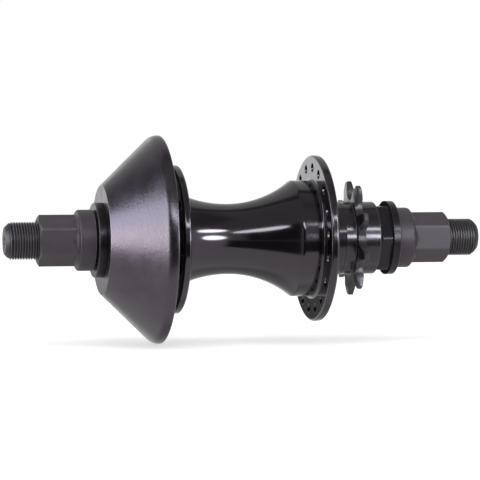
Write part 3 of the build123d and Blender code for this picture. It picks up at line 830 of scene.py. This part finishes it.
# (angle, radius) round half a gap between two teeth, from its middle to the middle of a tooth
def halfGap():
    roller, seatSteps, flankSteps = cog["rollerRadius"], cog["seatSteps"], cog["flankSteps"]
    toothAngle = math.pi / cog["teeth"]
    pitchRadius = cog["pitch"] / 2 / math.sin(toothAngle)
    seatAngle = math.radians(cog["seatHalfAngle"])
    tipAngle = toothAngle - math.radians(cog["tipHalfAngle"])
    points = []
    for i in range(seatSteps + 1):
        turn = seatAngle * i / seatSteps
        points.append(Vector((pitchRadius - roller * math.cos(turn), roller * math.sin(turn))))
    # The flank is an arc that leaves the seat smoothly and ends at the tip
    toward = Vector((-math.cos(seatAngle), math.sin(seatAngle)))
    seatEnd = points[-1]
    tip = Vector((math.cos(tipAngle), math.sin(tipAngle))) * cog["tipRadius"]
    run = tip - seatEnd
    flankRadius = run.length_squared / (2 * run.dot(toward))
    centre = seatEnd + toward * flankRadius
    first, last = seatEnd - centre, tip - centre
    startAngle = math.atan2(first.y, first.x)
    sweep = (math.atan2(last.y, last.x) - startAngle + math.pi) % (2 * math.pi) - math.pi
    for i in range(1, flankSteps + 1):
        turn = startAngle + sweep * i / flankSteps
        points.append(centre + Vector((math.cos(turn), math.sin(turn))) * flankRadius)
    polar = [(math.atan2(p.y, p.x), p.length) for p in points]
    polar.append(((tipAngle + toothAngle) / 2, cog["tipRadius"]))
    polar.append((toothAngle, cog["tipRadius"]))
    return polar


# The radius of the cog at each angle
def cogOutline():
    half = halfGap()
    outline = {}
    for i in range(cog["teeth"]):
        middle = math.radians(cog["turn"]) + 2 * math.pi / cog["teeth"] * (i + 0.5)
        for angle, radius in [(-a, r) for a, r in half[:0:-1]] + half[:-1]:
            outline[middle + angle] = radius
    return outline


def makeDriverBody():
    outline = cogOutline()
    cogIn, cogOut, foot = driver["cogIn"], driver["cogOut"], driver["radius"] + driver["cogFoot"]
    inner, carrierOut, noseEnd = driver["inner"], driver["carrierOut"], driver["noseEnd"]
    radius, carrier, bearing = driver["radius"], driver["carrierRadius"], driver["bearingRadius"]
    edge, waistEdge, mouthEdge = driver["edge"], driver["waistEdge"], driver["mouthEdge"]
    halfThickness = (cogIn - cogOut) / 2
    middleY = (cogIn + cogOut) / 2
    bevel = (halfThickness - cog["tipThickness"] / 2) / (cog["tipRadius"] - cog["bevelRadius"])

    # A row on one face of the cog, this far in from the outline of its teeth, or down at the bevel's foot
    def cogRow(side, inset, down):
        def row(angle):
            r = outline[angle] - inset
            if down:
                r = min(cog["bevelRadius"], r - holdGap)
            offset = halfThickness - max(0.0, r - cog["bevelRadius"]) * bevel
            if not inset:
                offset -= cog["edge"]
            # Rows at the teeth's outline take the edge colour: wear, and a painted sheen on the flanks.
            return (middleY + side * offset, r, 0.0 if down else 1.0)
        return row

    before = outlineRows([
        (driver["innerBearingOut"], bearing), (inner, bearing, mouthEdge), (inner, carrier, edge),
        (carrierOut, carrier, edge), (carrierOut, radius),
        (driver["waist"] + driver["waistRise"], radius, waistEdge),
        (driver["waist"], driver["waistRadius"], waistEdge),
        (driver["shoulder"], radius - driver["shoulderHeight"]),
        (driver["shoulder"], radius, driver["shoulderEdge"]), (cogIn, radius, edge), (cogIn, foot),
    ])
    outward = [(cog["edge"], True), (cog["edge"], False), (0, False)]
    teeth = [cogRow(1, inset, down) for inset, down in outward]
    teeth += [cogRow(-1, inset, down) for inset, down in reversed(outward)]
    after = outlineRows([
        (cogOut, foot), (cogOut, radius, edge), (noseEnd, radius, driver["noseEdge"]),
        (noseEnd, bearing, mouthEdge), (driver["outerBearingIn"], bearing),
        (driver["outerBearingIn"], driver["boreRadius"]), (driver["innerBearingOut"], driver["boreRadius"]),
    ])
    return rowMesh(before + teeth + after, sorted(outline))


driverPiece = newPiece("driver_body", makeDriverBody(), materials["driverGloss"])
settle(driverPiece, "driver", "driver")


# Locknut on the chain side

locknut = {
    "acrossFlats": 24.0, "cornerRadius": 13.75, "thickness": 4.6, "chamferDepth": 0.9, "chamferAngle": 30.0,
    "endWearAndSheen": 0.5, "boss": 0.5, "bossRadius": 8.7, "boreRadius": 7.0,
}


def makeLocknut():
    cornerRadius = locknut["cornerRadius"]
    hexRadius = hexSide(locknut["acrossFlats"], cornerRadius, 0)
    slope = math.tan(math.radians(locknut["chamferAngle"]))
    endRadius = cornerRadius - locknut["chamferDepth"]
    face = -seat + locknut["thickness"]
    bossFace = face + locknut["boss"]

    # Where the chamfer of one face meets the flats, or a gap further in
    def chamferRow(start, direction, gap):
        def row(angle):
            r = hexRadius(angle)
            inset = max(0.0, r - endRadius) * slope
            edge = cornerWearAndSheen(r, cornerRadius) if gap else 1.0
            return (start + direction * (inset + gap), r, edge)
        return row

    # The end rows and chamfer edges get the edge colour: wear and a painted highlight.
    def endRow(y):
        return lambda angle: (y, min(endRadius, hexRadius(angle) - holdGap), locknut["endWearAndSheen"])

    rows = [
        (-seat, locknut["boreRadius"], 0), endRow(-seat),
        chamferRow(-seat, 1, 0), chamferRow(-seat, 1, holdGap),
        chamferRow(face, -1, holdGap), chamferRow(face, -1, 0), endRow(face),
        (face, locknut["bossRadius"], 0), (bossFace, locknut["bossRadius"], 0),
        (bossFace, locknut["boreRadius"], 0),
    ]
    return rowMesh(rows, hexAngles(locknut["acrossFlats"], cornerRadius, 0))


locknutPiece = newPiece("driver_locknut", makeLocknut(), materials["locknutSteel"])
settle(locknutPiece, "axle", "ds_locknut")


# Studio: a pale floor, a white surround and lamps. Bearing 0 is the camera's side, -X, and bearings grow
# towards the side away from the chain. All angles are in degrees. The floor lies floorGap under the hub, in
# mm, and is floorSize across, in metres.

studio = {
    "floorGap": 0.35, "floorSize": 6.0, "floorColour": 0.8, "floorGlow": 0.57,
    "surroundLevel": 0.55, "reflectedWhite": 0.94,
}


# A pale floor that fades into the white surround and keeps the hub's shadow
def makeFloor():
    low = cadBounds[0].z - studio["floorGap"] * mm
    half = studio["floorSize"] / 2
    data = bpy.data.meshes.new("floor")
    corners = [(-half, -half, low), (half, -half, low), (half, half, low), (-half, half, low)]
    data.from_pydata(corners, [], [(0, 1, 2, 3)])
    floor = newObject("floor", data)
    material = bpy.data.materials.new("paleFloor")
    material.use_nodes = True
    tree = material.node_tree
    nodes, links = tree.nodes, tree.links
    calc = mathIn(tree)
    nodes.clear()
    diffuse = nodes.new("ShaderNodeBsdfDiffuse")
    tone = studio["floorColour"]
    diffuse.inputs["Color"].default_value = (tone, tone, tone, 1)
    glow = nodes.new("ShaderNodeEmission")
    seen = nodes.new("ShaderNodeLightPath").outputs["Is Camera Ray"]
    links.new(calc("MULTIPLY", seen, studio["floorGlow"]), glow.inputs["Strength"])
    both = nodes.new("ShaderNodeAddShader")
    links.new(diffuse.outputs[0], both.inputs[0])
    links.new(glow.outputs[0], both.inputs[1])
    links.new(both.outputs[0], nodes.new("ShaderNodeOutputMaterial").inputs[0])
    data.materials.append(material)
    floor.visible_glossy = False
    floor.visible_shadow = False


# The surround is white, and in reflections these cards stand in it. A row is the bearing and brightness of
# a card, the limits of its lift with the softness of each, and the limits of its side with theirs. Lift is
# the angle up from the horizon at the bearing, and side the angle to the left or right of it.
cards = [
    (0.0, 0.37, (32.0, 100.0), (3.0, 3.0), (-90.0, 90.0), (3.0, 3.0)),
    (0.0, 0.6, (112.0, 162.0), (4.0, 4.0), (-90.0, 28.0), (4.0, 4.0)),
    (0.0, 0.36, (112.0, 162.0), (4.0, 4.0), (28.0, 80.0), (4.0, 4.0)),
    (0.0, 0.15, (100.0, 114.0), (5.0, 5.0), (-90.0, 90.0), (5.0, 5.0)),
    (-60.0, 0.2, (31.0, 70.0), (5.0, 9.0), (-25.0, 12.0), (8.0, 8.0)),
    (180.0, 0.5, (-78.0, -26.0), (10.0, 8.0), (-20.0, 40.0), (10.0, 10.0)),
    (180.0, 1.5, (-1.6, 18.0), (0.8, 6.0), (-28.0, -2.0), (6.0, 6.0)),
    (180.0, 0.1, (-9.0, -2.4), (2.0, 0.8), (-22.0, -8.0), (4.0, 4.0)),
    (-10.0, 0.5, (-3.0, 31.0), (2.0, 4.0), (-11.0, 11.0), (5.0, 5.0)),
    (23.0, 0.06, (-3.0, 31.0), (2.0, 3.0), (-25.0, 38.0), (7.0, 3.0)),
    (23.0, 0.06, (-30.0, -3.0), (2.0, 2.0), (-43.0, 38.0), (4.0, 3.0)),
]


def makeSurround():
    world = bpy.data.worlds.new("studioSurround")
    bpy.context.scene.world = world
    world.use_nodes = True
    tree = world.node_tree
    nodes, links = tree.nodes, tree.links
    calc = mathIn(tree)
    nodes.clear()
    split = nodes.new("ShaderNodeSeparateXYZ")
    links.new(nodes.new("ShaderNodeTexCoord").outputs["Generated"], split.inputs[0])
    x, y, z = split.outputs

    def turned(alongX, alongY):
        return calc("ADD", calc("MULTIPLY", x, alongX), calc("MULTIPLY", y, alongY))

    def inDegrees(angle):
        return calc("MULTIPLY", angle, 180 / math.pi)

    def within(value, limits, soft):
        masks = []
        for limit, width, sign in zip(limits, soft, (1.0, -1.0)):
            ranged = nodes.new("ShaderNodeMapRange")
            ranged.interpolation_type = "SMOOTHSTEP"
            ranged.inputs["From Min"].default_value = limit - sign * width
            ranged.inputs["From Max"].default_value = limit + sign * width
            links.new(value, ranged.inputs["Value"])
            masks.append(ranged.outputs["Result"])
        return calc("MULTIPLY", masks[0], masks[1])

    def background(strength):
        light = nodes.new("ShaderNodeBackground")
        light.inputs["Color"].default_value = (1, 1, 1, 1)
        feed(tree, light.inputs["Strength"], strength)
        return light.outputs[0]

    def mixShader(share, first, second):
        mix = nodes.new("ShaderNodeMixShader")
        for socket, value in zip(mix.inputs, (share, first, second)):
            links.new(value, socket)
        return mix.outputs[0]

    level = studio["reflectedWhite"]
    for bearing, brightness, lift, liftSoft, side, sideSoft in cards:
        turn = math.radians(bearing)
        ahead = turned(-math.cos(turn), math.sin(turn))
        aside = turned(math.sin(turn), math.cos(turn))
        liftMask = within(inDegrees(calc("ARCTAN2", z, ahead)), lift, liftSoft)
        sideMask = within(inDegrees(calc("ARCSINE", aside)), side, sideSoft)
        level = mixIn(tree, "FLOAT", calc("MULTIPLY", liftMask, sideMask), level, brightness)
    path = nodes.new("ShaderNodeLightPath").outputs
    unseen = mixShader(path["Is Glossy Ray"], background(studio["surroundLevel"]), background(level))
    seen = calc("MAXIMUM", path["Is Camera Ray"], path["Is Transmission Ray"])
    surround = mixShader(seen, unseen, background(1.0))
    links.new(surround, nodes.new("ShaderNodeOutputWorld").inputs[0])


# Soft boxes. Places and sizes are in metres, and level is their brightness. The upright ones are there for
# reflections only, and the top one lights the hub and gives its shadow.
lamps = {
    "sideBoxUpper": {
        "bearing": 90.0, "distance": 0.9, "along": 0.06, "height": 0.35, "size": (0.78, 0.3),
        "shape": "RECTANGLE", "level": 5.3, "tint": (0.92, 1.01, 1.11),
    },
    "sideBoxLower": {
        "bearing": 90.0, "distance": 0.9, "along": 0.06, "height": 0.04, "size": (0.78, 0.32),
        "shape": "RECTANGLE", "level": 7.0, "tint": (1.0, 1.02, 1.0),
    },
    "upperStrip": {
        "bearing": 0.0, "distance": 0.313, "along": -0.245, "height": 0.174, "size": (0.26, 0.066),
        "shape": "ELLIPSE", "level": 15.0, "tint": (0.94, 1.04, 1.04),
    },
    "lowerStrip": {
        "bearing": 0.0, "distance": 0.313, "along": -0.194, "height": 0.036, "size": (0.17, 0.074),
        "shape": "ELLIPSE", "level": 16.0, "tint": (0.94, 1.04, 1.04),
    },
    "frontStrip": {
        "bearing": 25.0, "distance": 0.3, "along": -0.065, "height": 0.155, "size": (0.37, 0.058),
        "shape": "ELLIPSE", "level": 7.5, "tint": (0.96, 1.03, 1.03),
    },
    "topBox": {
        "bearing": 15.0, "distance": 0.35, "along": 0.0, "height": 0.95, "size": (0.8, 0.8),
        "shape": "RECTANGLE", "level": 1.8, "tint": (1.0, 1.0, 1.0),
    },
}


def makeLamps():
    for name, lamp in lamps.items():
        data = bpy.data.lights.new(name, "AREA")
        data.shape = lamp["shape"]
        data.color = lamp["tint"]
        data.size, data.size_y = lamp["size"]
        data.energy = lamp["level"] * math.pi * data.size * data.size_y
        source = newObject(name, data)
        turn = math.radians(lamp["bearing"])
        away = Vector((-math.cos(turn), math.sin(turn), 0))
        aside = Vector((math.sin(turn), math.cos(turn), 0))
        source.location = away * lamp["distance"] + aside * lamp["along"] + Vector((0, 0, lamp["height"]))
        isTop = name == "topBox"
        facing = source.location if isTop else away
        source.rotation_euler = facing.to_track_quat("Z", "Y").to_euler()
        source.visible_camera = False
        source.visible_glossy = not isTop
        source.visible_diffuse = isTop


# Angles in degrees, distance and aim in mm, lens and sensor as on a camera
camera = {
    "azimuth": 256.8, "elevation": 2.31, "distance": 985.0, "lens": 195.2, "sensor": 36.0,
    "aim": (0.0, 1.655, -0.433),
}


def makeCamera():
    turn, rise = math.radians(camera["azimuth"]), math.radians(camera["elevation"])
    back = Vector((math.sin(turn) * math.cos(rise), -math.cos(turn) * math.cos(rise), math.sin(rise)))
    data = bpy.data.cameras.new("photoCamera")
    data.lens = camera["lens"]
    data.sensor_width = camera["sensor"]
    eye = newObject("photoCamera", data)
    eye.location = (Vector(camera["aim"]) + back * camera["distance"]) * mm
    eye.rotation_euler = back.to_track_quat("Z", "Y").to_euler()
    bpy.context.scene.camera = eye


makeFloor()
makeSurround()
makeLamps()
makeCamera()
bpy.context.scene.view_settings.view_transform = "Standard"
print("studio ready")
